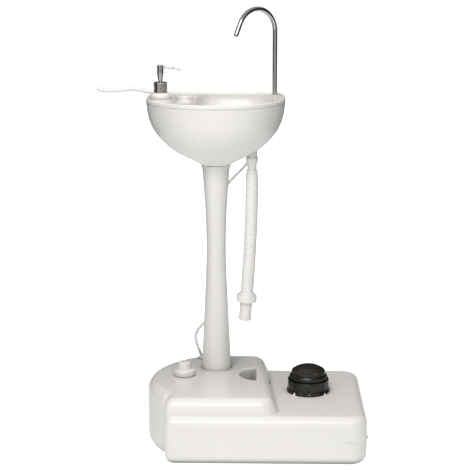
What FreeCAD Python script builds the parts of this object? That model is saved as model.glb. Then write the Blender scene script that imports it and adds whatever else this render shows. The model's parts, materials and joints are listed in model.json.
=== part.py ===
import FreeCAD, Part
import math
import os
import Sketcher
from FreeCAD import Placement, Rotation, Vector

# Portable handwash sink: a blow-moulded water tank with a foot pump, a hollow column, a D-shaped
# basin with a gooseneck faucet, a built-in soap dispenser, a towel bar and a hanging drain hose.
# Frame: origin on the floor below the column axis, +X towards the foot pump, +Y to the back, +Z up.
# Millimetres throughout.

doc = FreeCAD.newDocument("handwash_sink")
sheet = doc.addObject("Spreadsheet::Sheet", "Sizes")
nodes = {}
sheet_rows = []
UP = Vector(0, 0, 1)


class Size:
    """A number together with the spreadsheet formula that gives it."""

    def __init__(self, number, formula):
        self.number = float(number)
        self.formula = formula

    def __add__(self, other):
        return Size(self.number + num(other), f"({self.formula} + {text(other)})")

    def __radd__(self, other):
        return Size(num(other) + self.number, f"({text(other)} + {self.formula})")

    def __sub__(self, other):
        return Size(self.number - num(other), f"({self.formula} - {text(other)})")

    def __rsub__(self, other):
        return Size(num(other) - self.number, f"({text(other)} - {self.formula})")

    def __mul__(self, other):
        return Size(self.number * num(other), f"({self.formula} * {text(other)})")

    __rmul__ = __mul__

    def __truediv__(self, other):
        return Size(self.number / num(other), f"({self.formula} / {text(other)})")

    def __neg__(self):
        return Size(-self.number, f"(0 - {self.formula})")


def num(value):
    return value.number if isinstance(value, Size) else float(value)


def text(value):
    return value.formula if isinstance(value, Size) else repr(float(value))


def size(alias, number):
    """One driving dimension: a row of the spreadsheet."""
    sheet_rows.append(alias)
    row = len(sheet_rows)
    sheet.set(f"A{row}", alias)
    sheet.set(f"B{row}", str(number))
    sheet.setAlias(f"B{row}", alias)
    return Size(number, f"Sizes.{alias}")


# ---- driving dimensions ------------------------------------------------------------------------

total_height = size("total_height", 1020)
clear = size("gap_clear", 0.3)
run_fit = size("run_fit", 0.05)

tank_left = size("tank_left", -160.5)
tank_right = size("tank_right", 352)
tank_front = size("tank_front", -252)
tank_back = size("tank_back", 111)
tank_wall = size("tank_wall", 3.5)
lobe_radius = size("lobe_radius", 190)
block_left = size("block_left", -112)
tank_corner = size("tank_corner_radius", 40)
block_corner = size("block_corner_radius", 17)
tank_edge = size("tank_edge_radius", 22)
tank_foot = size("tank_foot_radius", 22)
deck = size("deck_height", 115)
plateau = size("plateau_height", 153)
plateau_edge = size("plateau_edge_radius", 24)
plateau_setback = size("plateau_setback", 13)
step_place = size("step_place", 139)
step_corner = size("step_corner_radius", 34)
step_turn = 4.0
step_draft = 24.0

cap_x = size("cap_across", -75)
cap_y = size("cap_along", -58)
cap_radius = size("cap_radius", 26)
cap_height = size("cap_rim_height", 16)
knob_radius = size("knob_radius", 15.5)
knob_height = size("knob_height", 19)
neck_radius = size("neck_radius", 20)
neck_bore = size("neck_bore", 16.5)
neck_height = size("neck_height", 10)

pump_x = size("pump_across", 222)
pump_y = size("pump_along", -55)
pump_flare = size("pump_flare_radius", 52)
pump_radius = size("pump_radius", 49)
pump_height = size("pump_height", 64)
pump_collar = size("pump_collar_height", 31)
pump_neck = size("pump_neck_radius", 39)
pump_port = size("pump_port_radius", 33)
pump_dome = size("pump_dome_radius", 41)

column_wall = size("column_wall", 2.5)
spigot_height = size("spigot_height", 22)
spigot_bore = size("spigot_bore_radius", 28)

basin_half = size("basin_half_width", 162.5)
basin_front = size("basin_front_depth", 151)
basin_back = size("basin_back_depth", 136)
basin_wall = size("basin_wall", 3)
basin_neck = size("basin_neck_radius", 35.5)
rim_top = size("rim_top", 812)
rim_height = size("rim_height", 10)
rim_width = size("rim_width", 5)
deck_drop = size("deck_drop", 4)
drain_x = size("drain_across", 85)
bowl_floor = size("bowl_floor", 708)

faucet_x = size("faucet_across", 138.5)
faucet_y = size("faucet_along", 95)
faucet_radius = size("faucet_radius", 5.25)
faucet_bend = size("faucet_bend_radius", 55)
faucet_bore = size("faucet_bore", 4)
faucet_turned = 39.0
faucet_sweep = 155.0
faucet_tail = size("faucet_tail_length", 32)

soap_x = size("soap_across", -130)
soap_y = size("soap_along", 15)
bottle_radius = size("bottle_radius", 24)
bottle_floor_radius = size("bottle_floor_radius", 19.5)
bottle_floor = size("bottle_floor", 768)
bottle_mouth = size("bottle_mouth", 832)
soap_top = size("soap_top", 887)

towel_radius = size("towel_radius", 4.3)
tube_radius = size("tube_radius", 4)
tube_bore = size("tube_bore", 2.75)
hose_radius = size("hose_radius", 15.5)
hose_bore = size("hose_bore", 12.5)

doc.recompute()


# ---- helpers -----------------------------------------------------------------------------------

def bind(thing, **values):
    """Set properties and tie each one to its spreadsheet formula."""
    for name, value in values.items():
        if isinstance(value, Size):
            thing.setExpression(name, value.formula)
        else:
            setattr(thing, name, value)
    return thing


def place(thing, x=0, y=0, z=0):
    """Put an object at a point, each coordinate tied to its formula."""
    thing.Placement = Placement(Vector(num(x), num(y), num(z)), thing.Placement.Rotation)
    for axis, value in zip("xyz", (x, y, z)):
        if isinstance(value, Size):
            thing.setExpression(f"Placement.Base.{axis}", value.formula)
    return thing


def keep(label, thing):
    """Name an object as one separate piece of the sink."""
    thing.Label = label
    nodes[label] = thing
    return thing


def feature(kind, name="Work"):
    return doc.addObject(kind, name)


def box(x0, x1, y0, y1, z0, z1):
    block = bind(feature("Part::Box"), Length=x1 - x0, Width=y1 - y0, Height=z1 - z0)
    return place(block, x0, y0, z0)


def cylinder(radius, z0, z1, x=0, y=0):
    return place(bind(feature("Part::Cylinder"), Radius=radius, Height=z1 - z0), x, y, z0)


def cut(base, *tools):
    result = feature("Part::Cut")
    result.Base = base
    result.Tool = tools[0] if len(tools) == 1 else fuse(*tools)
    return result


def fuse(*shapes):
    result = feature("Part::MultiFuse")
    result.Shapes = list(shapes)
    return result


def common(*shapes):
    result = feature("Part::MultiCommon")
    result.Shapes = list(shapes)
    return result


def rounded(base, radius, test):
    """Fillet the edges of base whose middle point passes the test."""
    doc.recompute()
    result = feature("Part::Fillet")
    result.Base = base
    chosen = []
    for index, edge in enumerate(base.Shape.Edges):
        middle = edge.valueAt((edge.FirstParameter + edge.LastParameter) / 2)
        if test(middle, edge):
            chosen.append((index + 1, num(radius), num(radius)))
    result.Edges = chosen
    return result


def upright(point, edge):
    """True for a straight vertical edge."""
    return abs(edge.tangentAt(edge.FirstParameter).z) > 0.99


def sketch(owner, name, plane, height=0):
    page = owner.newObject("Sketcher::SketchObject", name)
    base = [item for item in owner.Origin.OriginFeatures if item.Role == plane][0]
    page.AttachmentSupport = (base, [""])
    page.MapMode = "FlatFace"
    page.AttachmentOffset = Placement(Vector(0, 0, num(height)), Rotation())
    if isinstance(height, Size):
        page.setExpression("AttachmentOffset.Base.z", height.formula)
    return page


def outline(page, corners):
    """Close a polygon through the corners, each coordinate tied to its formula."""
    count = len(corners)
    for here in range(count):
        start = Vector(num(corners[here][0]), num(corners[here][1]), 0)
        after = corners[(here + 1) % count]
        end = Vector(num(after[0]), num(after[1]), 0)
        page.addGeometry(Part.LineSegment(start, end), False)
    for here in range(count):
        page.addConstraint(Sketcher.Constraint("Coincident", here, 2, (here + 1) % count, 1))
        for axis, value in zip("XY", corners[here]):
            limit = Sketcher.Constraint("Distance" + axis, -1, 1, here, 1, num(value))
            number = page.addConstraint(limit)
            if isinstance(value, Size):
                page.setExpression(f"Constraints[{number}]", value.formula)
    return page


def circle(page, radius):
    page.addGeometry(Part.Circle(Vector(0, 0, 0), UP, num(radius)), False)
    page.addConstraint(Sketcher.Constraint("Coincident", 0, 3, -1, 1))
    number = page.addConstraint(Sketcher.Constraint("Radius", 0, num(radius)))
    if isinstance(radius, Size):
        page.setExpression(f"Constraints[{number}]", radius.formula)
    return page


def turned(label, corners, x=0, y=0, z=0, fillets=()):
    """A body turned about its own Z axis from (radius, height) corners.

    fillets lists (radius of the fillet, (radius, height) of the corner that it rounds).
    """
    body = feature("PartDesign::Body", "Body")
    page = outline(sketch(body, "Profile", "XZ_Plane"), corners)
    spin = body.newObject("PartDesign::Revolution", "Revolution")
    spin.Profile = page
    spin.ReferenceAxis = (page, ["V_Axis"])
    spin.Angle = 360
    place(body, x, y, z)
    doc.recompute()
    for radius, corner in fillets:
        base = body.Tip
        names = []
        for index, edge in enumerate(base.Shape.Edges):
            spot = edge.valueAt(edge.FirstParameter)
            reach = math.hypot(spot.x, spot.y)
            if abs(reach - num(corner[0])) < 0.01 and abs(spot.z - num(corner[1])) < 0.01:
                if abs(edge.tangentAt(edge.FirstParameter).z) < 0.1:
                    names.append(f"Edge{index + 1}")
        fillet = body.newObject("PartDesign::Fillet", "Fillet")
        fillet.Base = (base, names)
        fillet.Radius = radius
        doc.recompute()
    return keep(label, body) if label else body


def ring(label, outer, inner, z0, z1, x=0, y=0, fillet=0):
    corners = [(inner, z0), (outer, z0), (outer, z1), (inner, z1)]
    edges = [(fillet, (outer, z0)), (fillet, (outer, z1))] if fillet else []
    return turned(label, corners, x, y, 0, edges)


def made(shape, name="Work"):
    """An object holding a shape that only Part's own functions can make."""
    thing = feature("Part::Feature", name)
    thing.Shape = shape
    return thing


def route_wire(points, quiet=True):
    """Straight runs through the points, joined by the largest tangent arcs that the runs allow."""
    points = [Vector(*(num(value) for value in point)) for point in points]
    edges = []
    here = points[0]
    for before, corner, after in zip(points, points[1:], points[2:]):
        arriving = (corner - before).normalize()
        leaving = (after - corner).normalize()
        shorter = min((corner - before).Length, (after - corner).Length)
        trim = 0.45 * shorter
        turn = arriving.getAngle(leaving)
        radius = trim / math.tan(turn / 2)
        if not quiet:
            print(f"  turn {math.degrees(turn):5.1f} deg, radius {radius:6.1f} mm")
        start = corner - arriving * trim
        end = corner + leaving * trim
        inward = (leaving - arriving).normalize()
        middle = corner + inward * (radius / math.cos(turn / 2) - radius)
        if (start - here).Length > 1e-6:
            edges.append(Part.LineSegment(here, start).toShape())
        edges.append(Part.Arc(start, middle, end).toShape())
        here = end
    edges.append(Part.LineSegment(here, points[-1]).toShape())
    return Part.Wire(edges)


def swept(wire, radius):
    start = wire.Edges[0]
    section = Part.Circle(start.valueAt(start.FirstParameter), start.tangentAt(start.FirstParameter), radius)
    solid = wire.makePipeShell([Part.Wire([section.toShape()])], True, False)
    expected = math.pi * radius ** 2 * wire.Length
    if abs(solid.Volume - expected) > 0.01 * expected:
        raise RuntimeError(f"swept tube volume {solid.Volume:.0f}, expected {expected:.0f}")
    return solid


def tube(label, points, outer, bore=0, quiet=True):
    """A round tube along a route of straight runs and tangent arcs."""
    wire = route_wire(points, quiet)
    shape = swept(wire, num(outer))
    if num(bore):
        shape = shape.cut(swept(wire, num(bore)))
    if not quiet:
        print(f"{label}: {wire.Length:.1f} mm long")
    return keep(label, made(shape, "Tube"))


def rod_between(start, end, radius, beyond=0):
    """A plain round rod from start to end, run on by a length at both ends."""
    start = Vector(*start)
    end = Vector(*end)
    axis = (end - start).normalize()
    rod = feature("Part::Cylinder")
    bind(rod, Radius=radius, Height=(end - start).Length + 2 * beyond)
    rod.Placement = Placement(start - axis * beyond, Rotation(UP, axis))
    return rod


def coil(label, radius, wire, z0, z1, turns, x=0, y=0):
    """A compression spring: a helix swept by a round wire."""
    pitch = (num(z1) - num(z0) - 2 * num(wire)) / turns
    helix = Part.makeHelix(pitch, pitch * turns, num(radius))
    helix.translate(Vector(0, 0, num(z0) + num(wire)))
    first = helix.Edges[0]
    at_start = first.FirstParameter
    section = Part.Circle(first.valueAt(at_start), first.tangentAt(at_start), num(wire))
    solid = Part.Wire(helix.Edges).makePipeShell([Part.Wire([section.toShape()])], True, True)
    solid.translate(Vector(num(x), num(y), 0))
    return keep(label, made(solid, "Coil"))


def hexagon(label, flats, bore, z0, z1, x, y):
    """A plain hexagon nut."""
    prism = feature("Part::Prism")
    bind(prism, Polygon=6, Circumradius=flats / math.sqrt(3), Height=z1 - z0)
    place(prism, x, y, z0)
    return keep(label, cut(prism, cylinder(bore, z0 - 1, z1 + 1, x, y)))


# ---- water tank --------------------------------------------------------------------------------

lobe_x = tank_left + lobe_radius
lobe_y = (tank_front + tank_back) / 2


def tank_plan(inset, front, low, high):
    """An upright slab with the tank's outline: a round lobe at the left, a straight block beside it."""
    span = 400
    lobe = cylinder(lobe_radius - inset, low, high, lobe_x, lobe_y)
    block_front = box(block_left + inset, lobe_x + span, front, lobe_y, low, high)
    block_right = box(lobe_x, lobe_x + span, front, tank_back, low, high)
    limits = box(tank_left, tank_right - inset, front, tank_back - inset, low, high)
    plan = common(limits, fuse(lobe, block_front, block_right))
    plan.Refine = True
    return plan


def steep(edge):
    return abs(edge.tangentAt(edge.FirstParameter).z) > 0.85


def near_block_corner(spot, edge):
    """The upright edge at the front left of the block, beside the lobe."""
    return steep(edge) and spot.x < num(block_left) + 12 and spot.y < num(lobe_y) - 135


def far_corner(spot, edge):
    """The upright edges away from the lobe."""
    return steep(edge) and spot.x > num(block_left) + 40


def tank_form(inset):
    """The tank's solid form, all faces moved in by inset: a low slab and a raised plateau."""
    slab = tank_plan(inset, tank_front + inset, inset, deck - inset)
    slab = rounded(slab, tank_corner - inset, far_corner)
    slab = rounded(slab, block_corner - inset, near_block_corner)
    slab = rounded(slab, tank_edge - inset, lambda spot, edge: spot.z > num(deck - inset) - 0.1)
    slab = rounded(slab, tank_foot - inset, lambda spot, edge: spot.z < num(inset) + 0.1)

    lobe_span = 70
    lobe_front = tank_front + 27
    lobe = common(cylinder(lobe_radius - inset, inset, plateau - inset, lobe_x, lobe_y),
                  box(tank_left, tank_left + lobe_span, lobe_front, tank_back, inset, plateau - inset))

    def on_lobe(spot):
        reach = math.hypot(spot.x - num(lobe_x), spot.y - num(lobe_y))
        return reach > num(lobe_radius - inset) - 0.1

    lobe = rounded(lobe, plateau_edge - inset,
                   lambda spot, edge: on_lobe(spot) and spot.z > num(plateau - inset) - 0.1)
    lobe = rounded(lobe, tank_foot - inset,
                   lambda spot, edge: on_lobe(spot) and spot.z < num(inset) + 0.1)

    upper_foot = 60
    upper = tank_plan(inset, tank_front + plateau_setback + inset, upper_foot, plateau - inset)
    wedge = feature("Part::Box")
    bind(wedge, Length=500, Width=600, Height=500)
    tilt = Rotation(UP, step_turn).multiply(Rotation(Vector(0, 1, 0), -step_draft))
    foot = Vector(num(step_place - inset), num(lobe_y), num(deck))
    wedge.Placement = Placement(foot - tilt.multVec(Vector(0, 300, 250)), tilt)
    upper = rounded(cut(upper, wedge), step_corner - inset, far_corner)
    upper = rounded(upper, block_corner - inset, near_block_corner)
    upper = rounded(upper, plateau_edge - inset, lambda spot, edge: spot.z > num(plateau - inset) - 0.1)
    return fuse(slab, lobe, upper)


grip_left = 57
grip_right = 97
grip_front = -96
grip_back = 0
grip_floor = 118
slot_roof = 138


def grip_void(spread):
    """The finger hole of the carry grip: a D-shaped well and a slot out through the step."""
    middle = (grip_front + grip_back) / 2
    bulge = (grip_back - grip_front) / 2
    well = common(cylinder(bulge + spread, grip_floor - spread, plateau + 20, grip_left + bulge, middle),
                  box(grip_left - spread, grip_right + spread, grip_front - spread, grip_back + spread,
                      grip_floor - spread, plateau + 20))
    arch = feature("Part::Cylinder")
    arch_radius = 80
    bind(arch, Radius=arch_radius + spread, Height=100)
    along_x = Rotation(Vector(0, 1, 0), 90)
    slot_start = 75 - spread
    arch.Placement = Placement(Vector(slot_start, -70, slot_roof - arch_radius), along_x)
    slot = common(arch, box(slot_start, 175, -140, 0, grip_floor - spread, slot_roof + spread))
    return fuse(well, slot)


def groove_rod(spread):
    """The upright groove between the lobe and the front block, which runs out over the top edge."""
    route = [(-116, -201, -20), (-116, -201, 60), (-115, -200, 135), (-101, -180, 175)]
    return made(swept(route_wire(route), 6.5 + spread))


def tank():
    shell = fuse(tank_form(Size(0, "0")),
                 cylinder(neck_radius, plateau - 3, plateau + neck_height, cap_x, cap_y),
                 cylinder(pump_neck, deck - 3, deck + 8, pump_x, pump_y),
                 turned("", [(spigot_bore, plateau - 3), (33, plateau - 3), (33, plateau),
                             (31.3, plateau + spigot_height), (spigot_bore, plateau + spigot_height)]),
                 *tank_lugs(), mould_lip())
    cavity = cut(tank_form(tank_wall), grip_void(num(tank_wall)), groove_rod(num(tank_wall)))
    openings = [cylinder(neck_bore, plateau - 8, plateau + 20, cap_x, cap_y),
                cylinder(pump_port, deck - 8, deck + 20, pump_x, pump_y),
                cylinder(6.3, plateau - 8, plateau + 8, outlet_x, outlet_y),
                grip_void(0), groove_rod(0)]
    return keep("tank", cut(shell, cavity, *openings))


lug_angles = (48, 138, 228, 318)
lug_width = 6
notch_width = 7.2


def tank_lugs():
    """Four small lugs on the deck that key the foot pump's collar."""
    lugs = []
    for angle in lug_angles:
        lug = bind(feature("Part::Box"), Length=7, Width=lug_width, Height=9)
        spin = Rotation(UP, angle)
        centre = Vector(num(pump_x), num(pump_y), num(deck) - 3)
        lug.Placement = Placement(centre + spin.multVec(Vector(45.3, -lug_width / 2, 0)), spin)
        lugs.append(lug)
    return lugs


def mould_lip():
    """The parting lip that stands out round the right-hand end."""
    proud = 2.5
    lip_top = 71
    block = box(305, tank_right + proud, tank_front - 0.4, tank_back + 0.4, 58, lip_top)
    lip = rounded(block, tank_corner, lambda spot, edge: upright(spot, edge) and spot.x > 340)
    doc.recompute()
    sloped = feature("Part::Chamfer")
    sloped.Base = lip
    names = []
    for index, edge in enumerate(lip.Shape.Edges):
        spot = edge.valueAt((edge.FirstParameter + edge.LastParameter) / 2)
        if spot.z > lip_top - 0.1 and spot.x > 330:
            names.append((index + 1, 12.0, 2.4))
    sloped.Edges = names
    return sloped


outlet_x = -38
outlet_y = 72

tank()


# ---- fill cap ----------------------------------------------------------------------------------

seal_top = neck_height + 2
cap_gap = size("cap_gap", 0.5)
turned("fill_cap",
       [(0, seal_top), (neck_radius + 1.2, seal_top), (neck_radius + 1.2, cap_gap),
        (cap_radius - 1.5, cap_gap), (cap_radius, 3), (cap_radius, cap_height), (knob_radius, cap_height),
        (knob_radius, cap_height + knob_height), (0, cap_height + knob_height)],
       cap_x, cap_y, plateau,
       [(2.5, (cap_radius, cap_height)), (4, (knob_radius, cap_height + knob_height))])
ring("fill_cap_seal", neck_radius, neck_bore, plateau + neck_height, plateau + seal_top, cap_x, cap_y)


# ---- foot pump ---------------------------------------------------------------------------------

def pump():
    gasket_top = deck + 10
    plate_top = gasket_top + 3
    ring("pump_gasket", pump_neck, pump_port, deck + 8, gasket_top, pump_x, pump_y)

    plate = ring("", pump_neck, 0, gasket_top, plate_top, pump_x, pump_y)
    valve_holes = []
    for offset in (-14, 14):
        for angle in range(0, 360, 90):
            hole_x = pump_x + offset + 4.5 * math.cos(math.radians(angle))
            hole_y = pump_y + 4.5 * math.sin(math.radians(angle))
            valve_holes.append(cylinder(1.5, gasket_top - 1, plate_top + 1, hole_x, hole_y))
    keep("pump_plate", cut(plate, *valve_holes))
    ring("pump_intake_flap", 8, 0, plate_top, plate_top + 1.2, pump_x - 14, pump_y)
    ring("pump_delivery_flap", 8, 0, gasket_top - 1.2, gasket_top, pump_x + 14, pump_y)

    collar = turned("", [(pump_neck + clear, 0.3), (pump_flare, 0.3), (pump_flare, 3), (pump_radius, 11),
                         (pump_radius, pump_collar), (pump_radius - 3, pump_collar),
                         (pump_radius - 3, 16), (pump_neck + clear, 12)],
                    pump_x, pump_y, deck, [(2, (pump_radius, pump_collar))])
    notches = []
    for angle in lug_angles:
        notch = bind(feature("Part::Box"), Length=14, Width=notch_width, Height=6.8)
        spin = Rotation(UP, angle)
        centre = Vector(num(pump_x), num(pump_y), num(deck) - 0.5)
        notch.Placement = Placement(centre + spin.multVec(Vector(44.9, -notch_width / 2, 0)), spin)
        notches.append(notch)
    keep("pump_collar", cut(collar, *notches))

    # The bellows: two soft convolutions between the plate and the dome.
    low = 13.2
    outer = pump_radius - 3.4
    skin = 2
    wave = [(outer - 8, low), (outer, low + 4), (outer, low + 13), (outer - 3, low + 17),
            (outer, low + 20.5), (outer, low + 28), (outer - 5, low + 32)]
    inside = [(point[0] - skin, point[1]) for point in reversed(wave)]
    turned("pump_bellows", wave + inside, pump_x, pump_y, deck)
    dome_low = low + 32.3
    turned("pump_dome",
           [(0, pump_height - 4), (pump_dome - 18, pump_height - 5.5), (pump_dome - 10, dome_low + 7),
            (pump_dome - 9, dome_low), (pump_dome, dome_low), (pump_dome, dome_low + 4),
            (pump_dome - 7, pump_height - 8), (pump_dome - 18, pump_height - 1.6), (0, pump_height)],
           pump_x, pump_y, deck,
           [(4, (pump_dome - 7, pump_height - 8))])
    coil("pump_spring", 17, 1.3, plate_top + 0.1, deck + pump_height - 5.6, 5, pump_x, pump_y)


pump()


# ---- water outlet, dip tube and supply tube ----------------------------------------------------

supply_route = [(-41, 72, 163), (-56, 67, 200), (-51, 51, 232), (-26, 31, 261), (-6, 12, 292), (0, 3, 335),
                (2, 5, 562), (13, 14, 588), (35, 29, 613), (76, 41, 652), (94, 50, 684), (105, 58, 716),
                (126.4, 82.3, 742.2), (136.5, 92.9, 768.4)]


def outlet():
    mouth = Vector(*supply_route[0])
    lean = (Vector(*supply_route[1]) - mouth).normalize()
    barb_start = mouth - lean * 8
    tip = mouth + lean * 12
    spud = turned("", [(0, 122), (2.6, 122), (2.6, 136), (6, 136), (6, plateau + 1.5), (11, plateau + 1.5),
                       (11, plateau + 4), (6.5, plateau + 4.5), (5, plateau + 7), (0, plateau + 7)],
                  outlet_x, outlet_y)
    barb = rod_between(barb_start, tip, 2.7)
    bore = cylinder(1.7, 121, 157, outlet_x, outlet_y)
    barb_bore = rod_between(barb_start, tip, 1.7, 2)
    keep("outlet_fitting", cut(fuse(spud, barb), bore, barb_bore))
    ring("outlet_seal", 10.5, 6.3, plateau, plateau + 1.5, outlet_x, outlet_y)
    hexagon("outlet_nut", 18, 6.1, plateau - tank_wall - 6, plateau - tank_wall, outlet_x, outlet_y)
    ring("dip_tube", tube_radius, tube_bore, 14, 135, outlet_x, outlet_y)
    strainer = ring("", 9, 0, 5, 24, outlet_x, outlet_y, 1)
    slots = [box(outlet_x - 12, outlet_x + 12, outlet_y - 1, outlet_y + 1, 5.8 + 3 * step, 7 + 3 * step)
             for step in range(3)]
    keep("dip_strainer", cut(strainer, cylinder(tube_radius + 0.05, 13.9, 30, outlet_x, outlet_y), *slots))
    tube("supply_tube", supply_route, tube_radius, tube_bore)


outlet()


# ---- column ------------------------------------------------------------------------------------

def column():
    """A waisted hollow column, lofted through round sections (height above the plateau, radius)."""
    sections = [(0, 35.8), (56, 33), (124, 29.7), (188, 26.7), (268, 23.3), (300, 22.9), (346, 23.4),
                (407, 25.9), (439, 28.1), (470, 30.2), (489, 31.9), (502, 35.4)]
    stations = {height: size(f"column_radius_{height}", radius) for height, radius in sections}
    body = feature("PartDesign::Body", "Body")
    for kind, wall in (("PartDesign::AdditiveLoft", 0), ("PartDesign::SubtractiveLoft", column_wall)):
        pages = []
        for height in stations:
            page = sketch(body, "Section", "XY_Plane", plateau + height)
            pages.append(circle(page, stations[height] - wall))
        loft = body.newObject(kind, "Loft")
        loft.Profile = pages[0]
        loft.Sections = pages[1:]
    doc.recompute()
    lower = rod_between(supply_route[2], supply_route[4], 6.5)
    upper = rod_between(supply_route[7], supply_route[9], 6)
    keep("column", cut(body, lower, upper))


column()


# ---- basin -------------------------------------------------------------------------------------

def power_loop(centre, across, front, back, left_power, right_power, front_power, back_power, height):
    """A closed smooth loop: a superellipse whose four quarters may differ.

    across is (left half-width, right half-width); the powers set how square each side is.
    """
    points = []
    count = 24
    for step in range(count):
        angle = 2 * math.pi * (step + 0.5) / count
        east = math.cos(angle)
        north = math.sin(angle)
        side_power = right_power if east > 0 else left_power
        end_power = back_power if north > 0 else front_power
        power = max(side_power, end_power)
        reach_x = across[1] if east > 0 else across[0]
        reach_y = back if north > 0 else front
        x = math.copysign(abs(east) ** (2 / power), east) * reach_x
        y = math.copysign(abs(north) ** (2 / power), north) * reach_y
        points.append(Vector(centre[0] + x, centre[1] + y, height))
    curve = Part.BSplineCurve()
    curve.interpolate(points, PeriodicFlag=True)
    return Part.Wire([curve.toShape()])


def basin_loop(half, height, square):
    """One D-shaped section of the basin: round in front, squarer behind."""
    share = (half - num(basin_neck)) / num(basin_half - basin_neck)
    front = num(basin_neck) + share * num(basin_front - basin_neck)
    back = num(basin_neck) + share * num(basin_back - basin_neck)
    return power_loop((0, 0), (half, half), front, back, 2, 2, 2, square, height)


# (height, half width, squareness of the back)
basin_profile = [(656, 35.5, 2.0), (668, 57, 2.3), (685, 90, 3.0), (711, 122.5, 4.0), (744, 148, 4.8),
                 (775, 158.5, 5.0), (802, 162, 5.0)]


def basin_form(inset, low, high):
    """The basin's outer form between two heights, moved in by inset."""
    loops = []
    for height, half, square in basin_profile:
        loops.append(basin_loop(half - inset, height + (inset if height < 700 else 0), square))
    solid = Part.makeLoft(loops, True, False)
    return solid


def basin_shell():
    outer = basin_form(0, 656, 802)
    inner = basin_form(num(basin_wall), 656, 802)
    spigot = Part.makeCylinder(27, 36, Vector(0, 0, 626))
    throat = Part.makeCylinder(24.5, 60, Vector(0, 0, 620))
    drain_hole = Part.makeCylinder(13.5, 60, Vector(num(drain_x), 0, 650))
    tube_hole = swept(route_wire(supply_route[8:12]), 5.5)
    shape = outer.cut(inner).fuse(spigot).cut(throat).cut(drain_hole).cut(tube_hole)
    keep("basin_shell", made(shape, "Shell"))


def bowl_loops(spread):
    """Sections of the wash bowl: straight at the divider, round towards the right.

    Each row is a height, the half-width, the reach to the front and to the back, and the share of
    the way towards the drain.
    """
    loops = []
    rows = [(num(rim_top) + 2, 88, 102, 143, 0), (num(rim_top) - 30, 86, 100, 139, 0.1),
            (760, 82, 94, 122, 0.25), (735, 72, 82, 97, 0.5), (718, 60, 66, 71, 0.75),
            (num(bowl_floor), 43, 44, 46, 1.0)]
    for height, half, front, back, drift in rows:
        centre = (45 + 19 * drift, -25 + 25 * drift)
        half_widths = (half + spread, half + spread)
        level = height - (spread if drift == 1.0 else 0)
        loops.append(power_loop(centre, half_widths, front + spread, back + spread,
                                4.5 - 2.5 * drift, 2.3, 2, 2.8 - 0.5 * drift, level))
    return loops


def dish_loops(spread):
    low = num(rim_top) - 16
    rows = [(num(rim_top) + 2, 22, 84), (low, 18, 79)]
    loops = []
    for height, across, along in rows:
        half_widths = (across + spread, across + spread)
        level = height - (spread if height == low else 0)
        loops.append(power_loop((-77, 0), half_widths, along + spread, along + spread, 4, 4, 4, 4, level))
    return loops


def basin_bowl():
    """The upper moulding: rim, deck, wash bowl, soap dish and bottle pocket in one piece."""
    wall = num(basin_wall)
    top = num(rim_top)
    low = top - num(rim_height)
    half = num(basin_half)
    deck_top = top - num(deck_drop)

    def plate(inset, z0, z1):
        face = Part.Face(basin_loop(half - inset, z0, 5))
        return face.extrude(Vector(0, 0, z1 - z0))

    rim = plate(0, low, top)
    rim = rim.makeFillet(2, [edge for edge in rim.Edges if edge.BoundBox.ZMin > top - 0.1])
    body = rim.cut(plate(num(rim_width), deck_top, top + 5))
    body = body.cut(plate(num(rim_width) + 1, low - 5, deck_top - wall))
    skirt = plate(wall + 2, low - 7, low + 3).cut(plate(wall + 4, low - 8, low + 4))
    body = body.fuse(skirt)

    bowl_out = Part.makeLoft(bowl_loops(wall), True, False)
    dish_out = Part.makeLoft(dish_loops(wall), True, False)
    bottle = Vector(num(soap_x), num(soap_y), 0)
    taper = (num(bottle_radius) - num(bottle_floor_radius)) / (deck_top - num(bottle_floor))
    pocket_depth = deck_top - num(bottle_floor)
    gap = 0.8
    pocket_wall = wall - 1
    around = gap + pocket_wall
    pocket_out = Part.makeCone(num(bottle_floor_radius) + around, num(bottle_radius) + around,
                               pocket_depth, bottle + Vector(0, 0, num(bottle_floor) - pocket_wall))
    above_deck = Part.makeBox(400, 400, 60, Vector(-200, -200, deck_top - 0.5))
    for hollow in (bowl_out, dish_out, pocket_out):
        body = body.fuse(hollow.cut(above_deck))

    body = body.cut(Part.makeLoft(bowl_loops(0), True, False))
    body = body.cut(Part.makeLoft(dish_loops(0), True, False))
    floor_radius = num(bottle_floor_radius) + gap
    body = body.cut(Part.makeCone(floor_radius, floor_radius + taper * (pocket_depth + 10), pocket_depth + 10,
                                  bottle + Vector(0, 0, num(bottle_floor) - 0.2)))
    body = body.cut(Part.makeCylinder(11, 20, Vector(num(drain_x), 0, num(bowl_floor) - 10)))
    faucet_foot = Vector(num(faucet_x), num(faucet_y), low - 8)
    body = body.cut(Part.makeCylinder(shank_radius + 0.3, 30, faucet_foot))
    body = body.cut(Part.makeCylinder(13, deck_top - wall - low + 8, faucet_foot))
    for y in clip_screw_places:
        body = body.cut(Part.makeCylinder(1.55, 20, Vector(clip_screw_x, y, deck_top - 10)))
    overflow = Part.makeBox(12, 9, 12, Vector(-60, 62, deck_top - 11))
    bar_way = num(towel_radius) + 0.5
    notch = Part.makeBox(42, 2 * bar_way, 10, Vector(-185, towel_y - bar_way, deck_top))
    body = body.cut(overflow).cut(notch)
    keep("basin_bowl", made(body, "Bowl"))


shank_radius = 7.5
clip_screw_x = -131
towel_y = 97.5
clip_screw_places = (87.2, 107.8)

basin_shell()
basin_bowl()


# ---- drain and hose ----------------------------------------------------------------------------

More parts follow.
